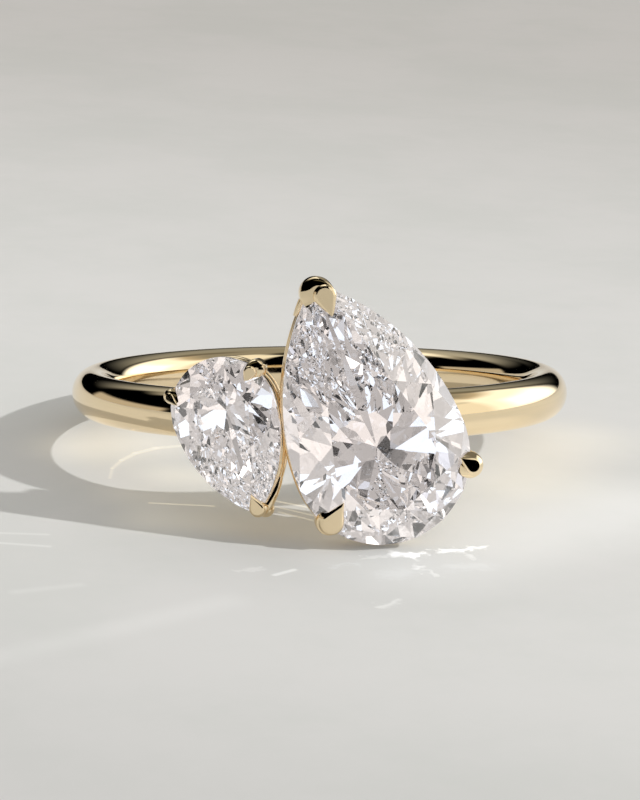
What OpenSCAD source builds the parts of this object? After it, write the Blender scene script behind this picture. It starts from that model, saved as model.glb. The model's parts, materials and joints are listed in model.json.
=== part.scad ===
// Toi et moi ring: two pear-cut stones, set head to tail across one rounded gold band.
// The ring lies on its side. The origin is the middle of the finger hole, and +Z is up.

/* [Finger] */
// Inner diameter of the band
finger_d = 17.3; // [14:0.1:22]

/* [Band] */
// Width of the band along the finger
band_w = 1.94; // [1.4:0.02:3]
// Thickness of the band from the finger to its outside
band_t = 1.7; // [1.2:0.05:2.4]
// Width of the straight stretch that touches the finger
bore_w = 0.9; // [0.4:0.05:1.3]

/* [Large stone] */
// Length of the large pear
large_l = 10.44; // [8:0.02:13]
// Width of the large pear
large_w = 6.73; // [5:0.01:8]
// Height of its girdle over the outside of the band
large_rise = 2.65; // [2.5:0.05:3.6]
// Turn of its tip away from the finger's direction
large_turn = 21.6; // [0:0.1:35]
// Height of its middle over the middle of the band, along the finger
large_up = 0.64; // [-1:0.01:1.5]

/* [Small stone] */
// Length of the small pear
small_l = 6.17; // [5:0.01:8]
// Width of the small pear
small_w = 4.14; // [3.2:0.01:5]
// Height of its girdle over the outside of the band
small_rise = 2.35; // [2:0.05:3]
// Turn of its tip away from the finger's direction, head to tail with the large one
small_turn = 19.2; // [0:0.1:35]
// Depth of its middle under the middle of the band, along the finger
small_down = 0.41; // [-1:0.01:1.5]

/* [Cut] */
// Width of the table, as a share of the stone
table_share = 0.6; // [0.5:0.01:0.68]
// Height of the crown, as a share of the stone's width
crown_share = 0.14; // [0.1:0.005:0.18]
// Depth of the pavilion, as a share of the stone's width
pavilion_share = 0.43; // [0.36:0.005:0.46]
// Thickness of the girdle
girdle_t = 0.2; // [0.12:0.01:0.3]
// Distance of the large stone's lowest point from the middle of its round end, towards its tip
large_culet = 0.3; // [0:0.05:0.6]
// The same for the small stone
small_culet = 0; // [0:0.05:0.4]

/* [Heads] */
// Space between the girdles of the two stones
stone_gap = 0.12; // [0.08:0.01:1]
// Running space between a stone and the metal that holds it
seat_gap = 0.05; // [0.02:0.01:0.1]
// Height of the wire rail under each girdle
rail_h = 0.56; // [0.4:0.02:0.8]
// Width of the wire rail under each girdle
rail_w = 0.46; // [0.3:0.02:0.6]
// Depth of the rail's top under the middle of the large girdle
large_rail_drop = 0.66; // [0.55:0.01:1]
// Depth of the rail's top under the middle of the small girdle
small_rail_drop = 0.54; // [0.45:0.01:0.8]
// Height of the base rail that is soldered to the band
base_h = 0.8; // [0.6:0.05:1.2]
// Width of the base rail
base_w = 0.56; // [0.4:0.02:0.8]
// Depth to which the base rail is let into the band
base_sink = 0.25; // [0.15:0.01:0.4]
// Thickness of the large stone's prongs
large_prong_d = 0.86; // [0.6:0.02:1.1]
// Thickness of the small stone's prongs
small_prong_d = 0.66; // [0.5:0.02:0.9]

/* [Rest] */
// Roll towards the small stone at which the lying ring balances
rest_roll = 2.7; // [0:0.1:6]

/* [Claws] */
// Width of the claw at the large stone's tip
large_tip_claw_w = 1.04; // [0.8:0.02:1.4]
// Width of the shoulder beside it, which closes round the sharp end
large_wing_w = 0.7; // [0.5:0.02:0.9]
// Width of the large stone's side claws
large_side_claw_w = 1.15; // [0.8:0.02:1.5]
// Width of the claw at the small stone's tip
small_tip_claw_w = 0.88; // [0.6:0.02:1.2]
// Width of the small stone's side claws
small_side_claw_w = 0.74; // [0.5:0.02:1]
// Place of the side claws round the round end, from the tip's direction
claw_turn = 117; // [105:1:135]

/* [Hidden] */
$fn = 96;

// Steps of the outline: on the quarter circle of the round end, and on one side up to the tip
STEPS = 12;
// Side of the block that stands for everything on one side of a facet
BLOCK = 60;
GOLD = "gold";
STONE = "aliceblue";

bore_r = finger_d / 2;
out_r = bore_r + band_t;
mid_r = bore_r + band_t / 2;

// The stones nest head to tail, so this share of their half widths lies between their middles
NEST = 0.908;
// Share of the way between the middles that the large stone stands off the front of the band
FRONT = 0.33;
large_r = out_r + large_rise;
small_r = out_r + small_rise;
apart = NEST * (large_w + small_w) / 2 + stone_gap;
spread = apart / ((large_r + small_r) / 2) * 180 / PI;

// One row for each stone: length, width, radius of its girdle, place round the band, height
// along the finger, turn of its tip, top of its rail, thickness of its prongs, place of its culet
L = 0; W = 1; R = 2; AZ = 3; UP = 4; TURN = 5; RAIL = 6; PRONG = 7; CULET = 8;
LARGE = [large_l, large_w, large_r, FRONT * spread, large_up, large_turn,
         large_rail_drop, large_prong_d, large_culet];
SMALL = [small_l, small_w, small_r, (FRONT - 1) * spread, -small_down, 180 + small_turn,
         small_rail_drop, small_prong_d, small_culet];

// One row for each claw: turn of its outward side, width, how far it stands out of the girdle,
// how far it reaches over the stone, how far it stands to the left (all three as shares of its
// width), and whether it has a twin
C_TURN = 0; C_W = 1; C_OUT = 2; C_REACH = 3; C_LEFT = 4; C_TWIN = 5;
LARGE_CLAWS = [[90, large_tip_claw_w, 0.23, 1.34, -0.14, false],
               [90, large_wing_w, 0.2, 0.86, 0.42, false],
               [90 - claw_turn, large_side_claw_w, 0.33, 0.74, 0, true]];
SMALL_CLAWS = [[90, small_tip_claw_w, 0.16, 0.75, 0, false],
               [90 - claw_turn, small_side_claw_w, 0.38, 0.66, 0, true]];

// Outline of a pear of width w: a half circle, and two arcs of radius side_r that meet at the tip
function tip_y(s) = s[L] - s[W] / 2;
function side_r(s) = (pow(tip_y(s), 2) + pow(s[W] / 2, 2)) / s[W];
function tip_turn(s) = asin(tip_y(s) / side_r(s));

// Point of the outline whose outward direction is turned t from +X, on the right half
function edge(s, t) =
    t <= 0 ? s[W] / 2 * [cos(t), sin(t)]
    : t < tip_turn(s) ? side_r(s) * [cos(t), sin(t)] - [side_r(s) - s[W] / 2, 0]
    : [0, tip_y(s)];

function right_side(s) = concat(
    [for (i = [0 : STEPS]) edge(s, -90 + 90 * i / STEPS)],
    [for (i = [1 : STEPS]) edge(s, tip_turn(s) * i / STEPS)]);
function outline(s) = let (side = right_side(s), n = len(side)) concat(
    side, [for (i = [n - 2 : -1 : 1]) [-side[i][0], side[i][1]]]);

// The same pear with every side moved out by g
function grown(s, g) = let (w = s[W] + 2 * g, r = side_r(s))
    concat([sqrt(pow(r + g, 2) - pow(r - s[W] / 2, 2)) + w / 2, w], [for (i = [2 : CULET]) s[i]]);
// The same pear at another scale
function scaled(s, k) = concat([s[L] * k, s[W] * k], [for (i = [2 : CULET]) s[i]]);

// Turns of the right half's main facets, from the round end to the tip
function main_turns(s) = [-90, -45, 0, 0.58 * tip_turn(s), 90];
function support(s, t) = edge(s, t) * [cos(t), sin(t)];

// Corner where the tangents with the turns a and b meet
function corner(s, a, b) = let (ha = support(s, a), hb = support(s, b), det = sin(b - a))
    [ha * sin(b) - hb * sin(a), hb * cos(a) - ha * cos(b)] / det;
function over(p, z) = [p[0], p[1], z];
function middle_turn(s, a, b) = (a + min(b, tip_turn(s))) / 2;

// Height of the crown and depth of the pavilion at the scale k of the outline
function crown_z(s, k) = girdle_t / 2 + crown_share * s[W] * (1 - k) / (1 - table_share);
function pavilion_z(s, k) = -girdle_t / 2 - pavilion_share * s[W] * (1 - k);

// Scale at which the stars meet the upper halves, and at which the lower halves end
STAR = 0.8;
LOWER = 0.24;

// Facets as three points each: mains of the turn t
function crown_main(s, t) = let (p = edge(s, t), d = [-sin(t), cos(t)])
    [over(p, crown_z(s, 1)), over(p + d, crown_z(s, 1)),
     over(table_share * p, crown_z(s, table_share))];
function pavilion_main(s, t) = let (p = edge(s, t), d = [-sin(t), cos(t)])
    [over(p, pavilion_z(s, 1)), over(p + d, pavilion_z(s, 1)), [0, s[CULET], pavilion_z(s, 0)]];

// Star, upper halves and lower halves between the mains of the turns a and b
function star(s, a, b) =
    [over(table_share * edge(s, a), crown_z(s, table_share)),
     over(table_share * edge(s, b), crown_z(s, table_share)), star_tip(s, a, b)];
function halves(s, a, b, inner, z_edge) = let (m = edge(s, middle_turn(s, a, b)))
    [for (t = [a, b]) [over(edge(s, t), z_edge), over(m, z_edge), inner]];
function star_tip(s, a, b) = over(STAR * corner(s, a, b), crown_z(s, STAR));
function lower_tip(s, a, b) =
    over(LOWER * corner(s, a, b) + (1 - LOWER) * [0, s[CULET]], pavilion_z(s, LOWER));

function side_facets(s) = let (t = main_turns(s)) concat(
    [for (i = [1 : 3]) crown_main(s, t[i])],
    [for (i = [1 : 3]) pavilion_main(s, t[i])],
    [for (i = [0 : 3]) star(s, t[i], t[i + 1])],
    [for (i = [0 : 3]) let (a = t[i], b = t[i + 1]) each concat(
        halves(s, a, b, star_tip(s, a, b), crown_z(s, 1)),
        halves(s, a, b, lower_tip(s, a, b), pavilion_z(s, 1)))]);
function end_facets(s) = [for (t = [-90, 90]) each [crown_main(s, t), pavilion_main(s, t)]];

// Everything on the stone's side of a facet's plane, moved out by g
module inside_facet(f, g) {
    n = cross(f[1] - f[0], f[2] - f[0]);
    out = n * f[0] < 0 ? -n : n;
    translate(f[0]) rotate([0, acos(out[2] / norm(out)), atan2(out[1], out[0])])
        translate([-BLOCK / 2, -BLOCK / 2, g - BLOCK]) cube(BLOCK);
}

// A cut stone is what its facets leave of its girdle's outline
module pear_cut(s, g = 0) {
    top = crown_z(s, table_share) + g;
    bottom = pavilion_z(s, 0) - s[W];
    intersection() {
        translate([0, 0, bottom]) linear_extrude(top - bottom) polygon(outline(grown(s, g)));
        intersection_for (f = end_facets(s)) inside_facet(f, g);
        intersection_for (f = side_facets(s)) inside_facet(f, g);
        mirror([1, 0, 0]) intersection_for (f = side_facets(s)) inside_facet(f, g);
    }
}

// From the hoop's frame to a stone's: girdle in the XY plane, tip towards +Y, table up
module at_stone(s)
    rotate(s[AZ]) translate([0, -s[R], s[UP]]) rotate([90, 0, 0]) rotate(s[TURN])
        translate([0, -(s[L] - s[W]) / 2, 0]) children();

// The same for a point of the stone's frame
function at_stone(s, p) = let (y = p[1] - (s[L] - s[W]) / 2,
    across = p[0] * cos(s[TURN]) - y * sin(s[TURN]),
    along = p[0] * sin(s[TURN]) + y * cos(s[TURN]))
    [across * cos(s[AZ]) + (s[R] + p[2]) * sin(s[AZ]),
     across * sin(s[AZ]) - (s[R] + p[2]) * cos(s[AZ]), along + s[UP]];

// The ring rests on the back of its band and on the rail under the large stone. Its front is
// raised by the lean at which both reach equally far down.
function down(lean) = [-sin(rest_roll) * cos(lean), sin(lean), -cos(rest_roll) * cos(lean)];
function band_reach(d) = let (flat = norm([d[0], d[1]]))
    mid_r * flat + norm([band_t / 2 * flat, band_w / 2 * d[2]]);
function rail_reach(d) = max([for (s = [LARGE, SMALL]) for (p = outline(s))
    at_stone(s, over(p, -s[RAIL] - rail_h)) * d]);
function lean_between(low, high, n = 24) = let (mid = (low + high) / 2)
    n == 0 ? mid
    : rail_reach(down(mid)) > band_reach(down(mid)) ? lean_between(mid, high, n - 1)
    : lean_between(low, mid, n - 1);
lean = lean_between(0, 40);

module at_rest() rotate([-lean, 0, 0]) rotate([0, -rest_roll, 0]) children();

module band() {
    flat = bore_w / 2;
    section = concat(
        [for (i = [0 : STEPS]) let (t = 90 * i / STEPS)
            [mid_r - band_t / 2 * cos(t), -flat - (band_w / 2 - flat) * sin(t)]],
        [for (i = [1 : 2 * STEPS - 1]) let (t = 90 * i / STEPS)
            [mid_r + band_t / 2 * sin(t), -band_w / 2 * cos(t)]],
        [for (i = [STEPS : -1 : 0]) let (t = 90 * i / STEPS)
            [mid_r - band_t / 2 * cos(t), flat + (band_w / 2 - flat) * sin(t)]]);
    rotate_extrude() polygon(section);
}

// Flat wire that follows the outline of a pear, w wide and h high, with its top at z
module rail(s, w, h, z)
    translate([0, 0, z - h]) linear_extrude(h) difference() {
        polygon(outline(s));
        polygon(outline(grown(s, -w)));
    }

module rod(p, q, d) {
    v = q - p;
    translate(p) rotate([0, acos(v[2] / norm(v)), atan2(v[1], v[0])])
        cylinder(h = norm(v), d = d);
}

// Arch that is round outside and pointed inside, seen from over the claw
function arch(w, reach) = concat(
    [for (i = [-STEPS / 2 : STEPS / 2]) let (t = 90 * i / (STEPS / 2)) w / 2 * [cos(t), sin(t)]],
    [[-0.45 * reach, 0.42 * w], [-reach, 0], [-0.45 * reach, -0.42 * w]]);

// Claw over the girdle's edge, with its outward side towards +X
module claw(s, c) {
    w = c[C_W];
    shift = c[C_OUT] * w - w / 2;
    reach = c[C_REACH] * w + shift;
    slope = atan2(crown_share * s[W] / (1 - table_share), support(s, c[C_TURN]));
    lip = 0.07 * w;
    translate([0, c[C_LEFT] * w]) hull() {
        translate([shift, 0, -girdle_t]) linear_extrude(girdle_t + 0.16 * w)
            polygon(arch(w, reach));
        translate([shift, 0, 0.42 * w]) rotate([0, slope / 2, 0])
            linear_extrude(lip) polygon(0.66 * arch(w, 1.3 * reach));
    }
}

module at_edge(s, t)
    translate(edge(s, t)) rotate(t) children();

// Basket of one stone: rail under the girdle, base rail on the band, prongs and claws
BASE = 0.58;
module head(s, claws) {
    base_top = out_r - s[R] - base_sink + base_h;
    rail(s, rail_w, rail_h, -s[RAIL]);
    rail(scaled(s, BASE), base_w, base_h, base_top);
    for (c = claws) {
        t = c[C_TURN];
        aside = c[C_LEFT] * c[C_W] * [-sin(t), cos(t)];
        top = edge(s, t) + (c[C_OUT] * c[C_W] - s[PRONG] / 2) * [cos(t), sin(t)] + aside;
        foot = BASE * edge(s, t) - base_w / 2 * [cos(t), sin(t)];
        for (side = c[C_TWIN] ? [0, 1] : [0]) mirror([side, 0, 0]) {
            at_edge(s, t) claw(s, c);
            // A claw that stands to the left is the shoulder of its neighbour, without its own prong
            if (c[C_LEFT] <= 0)
                rod(over(foot, base_top - base_h / 2), over(top, 0.1 * c[C_W]), s[PRONG]);
        }
    }
}

module gold() color(GOLD) at_rest() difference() {
    union() {
        band();
        at_stone(LARGE) head(LARGE, LARGE_CLAWS);
        at_stone(SMALL) head(SMALL, SMALL_CLAWS);
    }
    at_stone(LARGE) pear_cut(LARGE, seat_gap);
    at_stone(SMALL) pear_cut(SMALL, seat_gap);
}

module large_pear() color(STONE) at_rest() at_stone(LARGE) pear_cut(LARGE);

module small_pear() color(STONE) at_rest() at_stone(SMALL) pear_cut(SMALL);

gold();
large_pear();
small_pear();
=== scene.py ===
"""Toi et moi ring: the dressed model and its studio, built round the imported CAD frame.

Lengths are in millimetres until a mesh is made, and Blender gets metres. Three frames are used:
a stone's own (x to its side, y to its tip, z out of its table), the hoop's (z along the finger,
the stones in front at -y) and the row's, in which the ring lies on the floor.
"""
import json
import logging
from dataclasses import dataclass, replace
from enum import Enum
from typing import Sequence

import bmesh
import bpy
import numpy as np
from bpy.types import Material, Mesh, Node, NodeSocket, NodeTree, Object
from mathutils import Matrix
from numpy.typing import NDArray


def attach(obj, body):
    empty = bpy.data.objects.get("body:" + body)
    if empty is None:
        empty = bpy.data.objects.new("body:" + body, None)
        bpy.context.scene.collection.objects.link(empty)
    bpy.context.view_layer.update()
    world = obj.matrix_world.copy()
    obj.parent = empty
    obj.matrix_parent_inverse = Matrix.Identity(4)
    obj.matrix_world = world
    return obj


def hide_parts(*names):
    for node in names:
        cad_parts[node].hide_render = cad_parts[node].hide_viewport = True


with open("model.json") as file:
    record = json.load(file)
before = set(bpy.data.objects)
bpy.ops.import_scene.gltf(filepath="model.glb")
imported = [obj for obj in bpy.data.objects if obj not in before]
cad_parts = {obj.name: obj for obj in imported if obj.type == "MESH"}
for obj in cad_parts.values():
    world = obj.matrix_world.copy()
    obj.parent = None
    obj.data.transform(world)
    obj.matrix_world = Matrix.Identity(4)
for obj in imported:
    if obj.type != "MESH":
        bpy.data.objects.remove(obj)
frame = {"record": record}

Array = NDArray[np.float64]
Index = NDArray[np.int64]
Pair = tuple[float, float]
Colour = tuple[float, float, float]

log = logging.getLogger("ring")

MM = 0.001
PHOTO_HEIGHT = 800  # pixels
WELD = 1e-7  # metres within which a hull's corners are one
FLAT_ANGLE = 0.25  # degrees up to which a hull's triangles are one facet


class Slot(Enum):
    """The record's material slots."""

    GOLD = "gold"
    STONE = "stone"


# Small geometry


def unit(v: Array) -> Array:
    """Scales vectors to length one.

    Args:
        v: vectors in the last axis.

    Returns:
        v divided by its own length.
    """
    return v / np.linalg.norm(v, axis=-1, keepdims=True)


def turned(degrees: Array | float) -> Array:
    """Unit vectors at angles from +x: (cosine, sine).

    Args:
        degrees: one angle or an array of them.

    Returns:
        Array with one more axis, of length two.
    """
    t = np.radians(degrees)
    return np.stack([np.cos(t), np.sin(t)], -1)


def lifted(p: Array, z: Array | float) -> Array:
    """Adds a height to points of a plane.

    Args:
        p: points (..., 2).
        z: height, which broadcasts against p's leading axes.

    Returns:
        Points (..., 3).
    """
    z = np.broadcast_to(z, p.shape[:-1])
    return np.concatenate([p, z[..., None]], -1)


@dataclass
class Surface:
    """Points with the faces between them, in groups of equal corner count."""

    points: Array
    faces: list[Index]

    @staticmethod
    def rings(grid: Array, closed: bool = False) -> "Surface":
        """Quads between rings of points, the last point of each joined to its first.

        Args:
            grid: points (rings, around, 3).
            closed: whether the last ring joins the first; the two end rings are filled if not.

        Returns:
            The surface, with faces turned outward where rings run counter-clockwise upward.
        """
        n, m = grid.shape[:2]
        at = np.arange(n * m).reshape(n, m)
        here = np.concatenate([at, at[:1]]) if closed else at
        after = np.roll(here, -1, 1)
        quads = np.stack([here[:-1], after[:-1], after[1:], here[1:]], -1)
        faces = [quads.reshape(-1, 4)]
        if not closed:
            faces += [at[:1, ::-1], at[-1:]]
        return Surface(grid.reshape(-1, 3), faces)

    def outward(self) -> "Surface":
        """The same closed surface with its faces turned outward.

        Its volume is a sixth of the sum, over the triangles from each face's first corner, of the
        first corner's dot product with the cross product of the other two; where that is negative
        every face is turned over.

        Returns:
            The surface, or one with every face turned over.
        """
        volume = 0.0
        for group in self.faces:
            p = self.points[group]
            volume += np.sum(p[:, :1] * np.cross(p[:, 1:-1], p[:, 2:]))
        return self if volume > 0 else Surface(self.points, [f[:, ::-1] for f in self.faces])

    def mesh(self, name: str, sharp: float | None = None) -> Mesh:
        """Makes a Blender mesh in metres.

        Args:
            name: name of the mesh.
            sharp: edges steeper than this many degrees stay sharp; None leaves all faces flat.

        Returns:
            The new mesh.
        """
        mesh = bpy.data.meshes.new(name)
        sizes = np.concatenate([np.full(len(f), f.shape[1]) for f in self.faces])
        corners = np.concatenate([f.ravel() for f in self.faces])
        mesh.vertices.add(len(self.points))
        mesh.vertices.foreach_set("co", (self.points * MM).astype(np.float32).ravel())
        mesh.loops.add(len(corners))
        mesh.loops.foreach_set("vertex_index", corners.astype(np.int32))
        mesh.polygons.add(len(sizes))
        starts = np.concatenate([[0], np.cumsum(sizes)[:-1]])
        mesh.polygons.foreach_set("loop_start", starts.astype(np.int32))
        mesh.update(calc_edges=True)
        mesh.validate()
        shade(mesh, sharp)
        return mesh


def shade(mesh: Mesh, sharp: float | None) -> None:
    """Shades a mesh flat, or smooth with its steep edges kept sharp.

    Args:
        mesh: the mesh to change.
        sharp: the angle in degrees over which an edge stays sharp, or None for flat faces.
    """
    mesh.polygons.foreach_set("use_smooth", np.full(len(mesh.polygons), sharp is not None))
    if sharp is not None:
        mesh.set_sharp_from_angle(angle=np.radians(sharp))
    mesh.update()


def hull_mesh(name: str, points: Array) -> Mesh:
    """The convex hull of a cloud of corners as flat facets, in metres.

    Args:
        name: name of the mesh.
        points: corners in millimetres.

    Returns:
        A closed mesh, each flat facet one face.
    """
    mesh = bpy.data.meshes.new(name)
    mesh.from_pydata((points * MM).tolist(), [], [])
    bm = bmesh.new()
    bm.from_mesh(mesh)
    bmesh.ops.remove_doubles(bm, verts=bm.verts, dist=WELD)
    made = bmesh.ops.convex_hull(bm, input=bm.verts)
    bmesh.ops.delete(bm, geom=list(set(made["geom_interior"])), context="VERTS")
    bmesh.ops.dissolve_limit(bm, angle_limit=np.radians(FLAT_ANGLE), verts=bm.verts, edges=bm.edges)
    bmesh.ops.recalc_face_normals(bm, faces=bm.faces)
    bm.to_mesh(mesh)
    bm.free()
    shade(mesh, None)
    return mesh


def place(name: str, mesh: Mesh, material: Material) -> Object:
    """Puts a mesh into the scene, untransformed.

    Args:
        name: name of the piece.
        mesh: its mesh, in metres and in the row's frame.
        material: its finish.

    Returns:
        The new object.
    """
    mesh.materials.clear()
    mesh.materials.append(material)
    obj = bpy.data.objects.new(name, mesh)
    bpy.context.scene.collection.objects.link(obj)
    return obj


def combine(obj: Object, others: Sequence[Object], operation: str) -> None:
    """Joins closed pieces with another, or cuts them away from it.

    Args:
        obj: the piece, whose mesh is replaced.
        others: the closed pieces, which are deleted afterwards.
        operation: UNION or DIFFERENCE.
    """
    for other in others:
        mod = obj.modifiers.new(operation, "BOOLEAN")
        mod.operation = operation
        mod.solver = "MANIFOLD"
        mod.object = other
    deps = bpy.context.evaluated_depsgraph_get()
    made = bpy.data.meshes.new_from_object(obj.evaluated_get(deps), depsgraph=deps)
    obj.modifiers.clear()
    obj.data = made
    for other in others:
        bpy.data.objects.remove(other)


def keep_largest(mesh: Mesh) -> None:
    """Deletes the loose slivers that cutting leaves, and keeps the piece with the most corners.

    Every corner takes the lowest label among its neighbours until all corners of a piece share one.

    Args:
        mesh: the mesh to change.
    """
    ends = np.empty(2 * len(mesh.edges), np.int32)
    mesh.edges.foreach_get("vertices", ends)
    a, b = ends.reshape(-1, 2).T
    label, before = np.arange(len(mesh.vertices)), None
    while before is None or np.any(label != before):
        before = label.copy()
        low = np.minimum(before[a], before[b])
        np.minimum.at(label, a, low)
        np.minimum.at(label, b, low)
        label = label[label]
    loose = np.flatnonzero(label != np.bincount(label).argmax())
    bm = bmesh.new()
    bm.from_mesh(mesh)
    bm.verts.ensure_lookup_table()
    bmesh.ops.delete(bm, geom=[bm.verts[i] for i in loose.tolist()], context="VERTS")
    bm.to_mesh(mesh)
    bm.free()


# The pears


@dataclass(frozen=True)
class Flat:
    """The flat ground on a claw, a drop in outline, placed in the claw's own frame.

    It lies at its height over the stone's plane at its middle, and falls by the tangent of tilt
    outward and of roll to the left, both in degrees.
    """

    x: float
    y: float
    width: float
    reach: float
    aim: float
    height: float
    tilt: float
    roll: float = 0.0


@dataclass(frozen=True)
class Post:
    """The round top of a claw's prong: its place in the claw's frame, height and diameter."""

    x: float
    y: float
    top: float
    d: float


@dataclass(frozen=True)
class Claw:
    """A claw over the girdle, a drop in outline.

    Its frame has x outward from the girdle and y to the left, and its drop's round end lies round
    (x, y) and its point at its reach from there, inward but for the aim in degrees. Turn is the
    girdle's outward direction there.
    """

    turn: float
    x: float
    y: float
    width: float
    reach: float
    aim: float
    flat: Flat
    post: Post


@dataclass(frozen=True)
class Arm:
    """A swelling beside the upper wire, from the tip along the stone's left side to a turn."""

    last: float
    radius: float
    drop: float


@dataclass(frozen=True)
class Pear:
    """A pear-cut stone's outline, its place on the hoop and what is particular to its head.

    Radius, around and up place it: distance from the finger's axis, degrees round it and height
    along it. Turn is its tip's turn in its plane. Shift moves its wires in that plane, and culet
    its lowest point toward the tip. Table, star and lower are scales of the outline, and crown and
    pavilion are heights over the width.
    """

    length: float
    width: float
    radius: float
    around: float
    up: float
    turn: float
    rail_drop: float
    culet: float
    claws: tuple[Claw, ...]
    arm: Arm
    shift: Pair

    table: float = 0.6
    crown: float = 0.14
    pavilion: float = 0.43
    girdle: float = 0.2
    star: float = 0.8
    lower: float = 0.24

    @property
    def tip_y(self) -> float:
        """Height of the tip over the middle of the round end: length less half the width."""
        return self.length - self.width / 2

    @property
    def side_r(self) -> float:
        """Radius of the side arcs: (tip height squared plus half width squared) over the width."""
        return (self.tip_y**2 + (self.width / 2) ** 2) / self.width

    @property
    def tip_turn(self) -> float:
        """Turn of the side arc's outward direction where it reaches the tip, in degrees."""
        return float(np.degrees(np.arcsin(self.tip_y / self.side_r)))

    def grown(self, g: float) -> "Pear":
        """The same pear with every side moved out.

        The side arcs keep their middles, so the tip's height squared is the new side radius
        squared less the square of the distance from those middles to the long axis.

        Args:
            g: how far the sides move out.

        Returns:
            The grown pear.
        """
        r, half = self.side_r, self.width / 2
        width = self.width + 2 * g
        return replace(self, width=width, length=np.sqrt((r + g) ** 2 - (r - half) ** 2) + width / 2)

    def edge(self, turns: Array | float) -> Array:
        """Points of the outline's right half.

        A half circle of half the width up to turn 0, then an arc of the side radius, whose middle
        lies on the other side, and the tip for every turn beyond that arc's end.

        Args:
            turns: outward directions in degrees, from -90 at the round end to 90 at the tip.

        Returns:
            Points (..., 2).
        """
        t = np.asarray(turns, float)
        round_end = self.width / 2 * turned(t)
        side = self.side_r * turned(np.minimum(t, self.tip_turn)) - [self.side_r - self.width / 2, 0]
        return np.where((t <= 0)[..., None], round_end, side)

    def rim(self, turn: float) -> Array:
        """Point of the whole outline with an outward direction, on either side."""
        return self.edge(turn) if turn <= 90 else self.edge(180 - turn) * [-1, 1]

    def outline(self, steps: int) -> Array:
        """The whole outline, counter-clockwise from the round end.

        Args:
            steps: points on the quarter circle, and on each side arc.

        Returns:
            Points (4 * steps, 2).
        """
        round_end, side = np.linspace(-90, 0, steps + 1), np.linspace(0, self.tip_turn, steps + 1)
        right = self.edge(np.concatenate([round_end, side[1:]]))
        return np.concatenate([right, right[-2:0:-1] * [-1, 1]])

    def support(self, turns: Array | float) -> Array:
        """Distance from the round end's middle to the tangent with each outward direction."""
        return np.sum(self.edge(turns) * turned(turns), -1)

    def corner(self, a: Array, b: Array) -> Array:
        """Where two tangents of the outline meet.

        The point's dot product with each outward direction is that direction's support, and the
        two equations are solved by determinants.

        Args:
            a: turns of the first tangents.
            b: turns of the second.

        Returns:
            Points (..., 2).
        """
        ha, hb = self.support(a), self.support(b)
        ca, cb = turned(a), turned(b)
        det = ca[..., 0] * cb[..., 1] - ca[..., 1] * cb[..., 0]
        x = ha * cb[..., 1] - hb * ca[..., 1]
        y = hb * ca[..., 0] - ha * cb[..., 0]
        return np.stack([x, y], -1) / det[..., None]

    def crown_z(self, k: Array | float) -> Array | float:
        """Height of the crown at the scale k of the outline."""
        return self.girdle / 2 + self.crown * self.width * (1 - k) / (1 - self.table)

    def pavilion_z(self, k: Array | float) -> Array | float:
        """Height of the pavilion, which is below zero, at the scale k of the outline."""
        return -self.girdle / 2 - self.pavilion * self.width * (1 - k)

    def cover(self, p: Array) -> Array:
        """Height of the stone's top under points of its plane, and of the girdle's edge outside it.

        A point's scale is the largest, over all outward directions, of its distance along the
        direction over the outline's own.

        Args:
            p: points (..., 2) of the stone's plane.

        Returns:
            Heights (...).
        """
        turns = np.linspace(-90, 90, 91)
        ways = turned(turns) / self.support(turns)[:, None]
        scale = np.max(np.abs(p[..., :1]) * ways[:, 0] + p[..., 1:] * ways[:, 1], -1)
        return self.crown_z(np.clip(scale, self.table, 1.0))

    def to_hoop(self, p: Array) -> Array:
        """Carries points from the stone's frame to the hoop's.

        Args:
            p: points (..., 3) in the stone's frame.

        Returns:
            Points (..., 3) in the hoop's frame.
        """
        c, s = turned(self.turn)
        y = p[..., 1] - (self.length - self.width) / 2
        across = p[..., 0] * c - y * s
        along = p[..., 0] * s + y * c
        ca, sa = turned(self.around)
        r = self.radius + p[..., 2]
        return np.stack([across * ca + r * sa, across * sa - r * ca, along + self.up], -1)


FINGER_R = 8.65
BAND_T = 1.7
BAND_W = 1.94
BORE_W = 0.35  # width of the straight stretch inside the band
OUT_R = FINGER_R + BAND_T
WIRE_D = 0.3
BASE_W, BASE_H, BASE_SINK = 0.56, 0.8, 0.25
BASE = 0.58  # size of a base rail over its stone's
SEAT_GAP = 0.05
SPREAD = 22.5392  # degrees round the finger between the two stones
FRONT = 0.33  # share of the spread from the hoop's front to the large stone
SHARP = 20.0  # degrees over which the metal's edges stay sharp

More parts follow.
